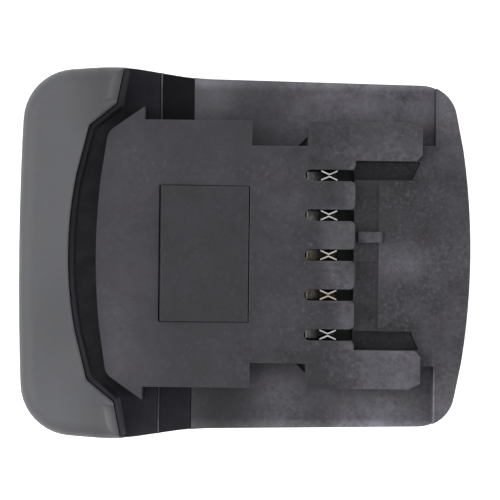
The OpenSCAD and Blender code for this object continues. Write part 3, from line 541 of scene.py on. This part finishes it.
# The finish of each material slot in the record
FINISHES = {
    "housing_plastic": (moulded_plastic, dict(
        colour=(0.0455, 0.0438, 0.0515), cloudy=(-8.0, 18.0, 0.66, 1.26),
        speckle=(-5.0, 20.0, 0.6, 1.7), roughness=0.55, lightness=housing_painted_light)),
    "grip_plastic": (moulded_plastic, dict(
        colour=(0.106, 0.107, 0.116), cloudy=evenly(0.09), speckle=evenly(0.15), roughness=0.5,
        lightness=grip_painted_light, wear=grip_edge_wear_and_highlight)),
    "latch_plastic": (moulded_plastic, dict(
        colour=(0.030, 0.029, 0.0342), cloudy=evenly(0.72), speckle=evenly(0.7), roughness=0.55)),
    "damper_rubber": (soft_rubber, dict(colour=(0.0115, 0.0112, 0.0138), dusty=(0.1, 0.1, 0.11))),
    "spring_steel": (sheet_metal, dict(
        colour=(0.55, 0.55, 0.56), tarnish=(0.4, 0.4, 0.41), roughness=0.3)),
    "pin_steel": (sheet_metal, dict(
        colour=(0.1, 0.1, 0.105), tarnish=(0.06, 0.058, 0.055), roughness=0.45)),
    "screw_steel": (sheet_metal, dict(
        colour=(0.42, 0.42, 0.44), tarnish=(0.3, 0.29, 0.28), roughness=0.34)),
    "tinned_contact": (sheet_metal, dict(
        colour=(0.46, 0.46, 0.465), tarnish=(0.34, 0.33, 0.32), roughness=0.34, in_slots=True)),
    "brass_contact": (sheet_metal, dict(
        colour=(0.47, 0.44, 0.385), tarnish=(0.37, 0.3, 0.22), roughness=0.34, in_slots=True)),
    "board": (lacquered_board, {}),
    "chip": (glossy_plastic, dict(colour=(0.02, 0.02, 0.02))),
    "wire_red": (glossy_plastic, dict(colour=(0.5, 0.03, 0.02))),
    "wire_black": (glossy_plastic, dict(colour=(0.015, 0.015, 0.016))),
    "wire_white": (glossy_plastic, dict(colour=(0.7, 0.7, 0.67))),
    "wire_yellow": (glossy_plastic, dict(colour=(0.65, 0.46, 0.03))),
}
MATERIALS = {slot: finish(slot, **values) for slot, (finish, values) in FINISHES.items()}


def dress(node, slot):
    """Gives a CAD node its finish."""
    mesh = nodes[node].data
    mesh.materials.clear()
    mesh.materials.append(MATERIALS[slot])


def smooth(node, angle):
    """Shades the round faces of a CAD node smoothly, and keeps its flat faces flat."""
    piece = nodes[node]
    weld = piece.modifiers.new("weld", "WELD")
    weld.merge_threshold = WELD_REACH
    flats = piece.modifiers.new("flats", "DECIMATE")
    flats.decimate_type = "DISSOLVE"
    flats.angle_limit = FLAT_ANGLE
    corners = piece.modifiers.new("corners", "EDGE_SPLIT")
    corners.split_angle = angle
    even = piece.modifiers.new("even", "WEIGHTED_NORMAL")
    even.weight = FACE_WEIGHT
    for polygon in piece.data.polygons:
        polygon.use_smooth = True


def dress_all():
    """Gives every CAD node the finish and the shading that suit it."""
    for part in frame["record"]["subparts"]:
        node = part["node"]
        dress(node, part["material_slot"])
        is_coil_or_wire = node.startswith("wire_") or node.endswith("_spring")
        smooth(node, COIL_ANGLE if is_coil_or_wire else ROUND_ANGLE)


def shorten_springs():
    """Gives each spring that a joint deforms its own copy of its mesh."""
    for joint in frame["record"]["behaviour"]["joints"]:
        for spring in joint.get("deforming_nodes", []):
            node, letter = spring["node"], spring["mode"][-1]
            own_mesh(nodes[node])


# Studio

def white_floor():
    """A large pale floor that shows white to the camera and keeps the object's soft shadow."""
    bpy.ops.mesh.primitive_plane_add(size=FLOOR_SIZE, location=(0, 0, -FLOOR_DROP))
    floor = bpy.context.object
    floor.name = "floor"
    s = Shader("floor")
    s.set(base_color=FLOOR_COLOUR, roughness=FLOOR_ROUGHNESS)
    rays = s.node("ShaderNodeLightPath").outputs
    seen = s.math("MAXIMUM", rays["Is Camera Ray"], rays["Is Glossy Ray"])
    seen = s.math("MAXIMUM", seen, rays["Is Transmission Ray"])
    glow = s.node("ShaderNodeEmission")
    s.link(s.math("MULTIPLY", seen, FLOOR_GLOW), glow.inputs["Strength"])
    total = s.node("ShaderNodeAddShader")
    s.link(s.surface.outputs["BSDF"], total.inputs[0])
    s.link(glow.outputs["Emission"], total.inputs[1])
    s.link(total.outputs["Shader"], s.tree.nodes["Material Output"].inputs["Surface"])
    floor.data.materials.append(s.material)


def area_light(name, position, size, power):
    """A rectangular light that aims at the middle of the plate."""
    lamp = bpy.data.lights.new(name, "AREA")
    lamp.shape = "RECTANGLE"
    lamp.size, lamp.size_y = size
    lamp.energy = power
    light = bpy.data.objects.new(name, lamp)
    bpy.context.scene.collection.objects.link(light)
    light.location = position
    aim = Vector((0, 0, PLATE_TOP)) - Vector(position)
    light.rotation_euler = aim.to_track_quat("-Z", "Y").to_euler()


def studio_light():
    """An even white surrounding and the area lights."""
    world = bpy.data.worlds.new("studio")
    bpy.context.scene.world = world
    world.use_nodes = True
    background = world.node_tree.nodes["Background"]
    background.inputs["Color"].default_value = (1, 1, 1, 1)
    background.inputs["Strength"].default_value = WORLD_STRENGTH
    for light in LIGHTS:
        area_light(*light)


def photo_camera():
    """Looks straight down, with the plate at the photograph's scale and place."""
    camera = bpy.data.cameras.new("camera")
    camera.sensor_width = SENSOR_MM
    view_width = IMAGE_PX / PX_PER_MM * MM
    camera.lens = SENSOR_MM * CAMERA_HEIGHT / view_width
    camera.clip_start = CAMERA_NEAR
    eye = bpy.data.objects.new("camera", camera)
    bpy.context.scene.collection.objects.link(eye)
    off_x = (IMAGE_PX / 2 - CENTRE_PX[0]) / PX_PER_MM * MM
    off_y = (CENTRE_PX[1] - IMAGE_PX / 2) / PX_PER_MM * MM
    cosine, sine = math.cos(CAMERA_TURN), math.sin(CAMERA_TURN)
    eye.location = (off_x * cosine - off_y * sine, off_x * sine + off_y * cosine,
                    PLATE_TOP + CAMERA_HEIGHT)
    eye.rotation_euler = (0, 0, CAMERA_TURN)
    bpy.context.scene.camera = eye


dress_all()
shorten_springs()
white_floor()
studio_light()
photo_camera()
bpy.context.scene.view_settings.view_transform = "Standard"
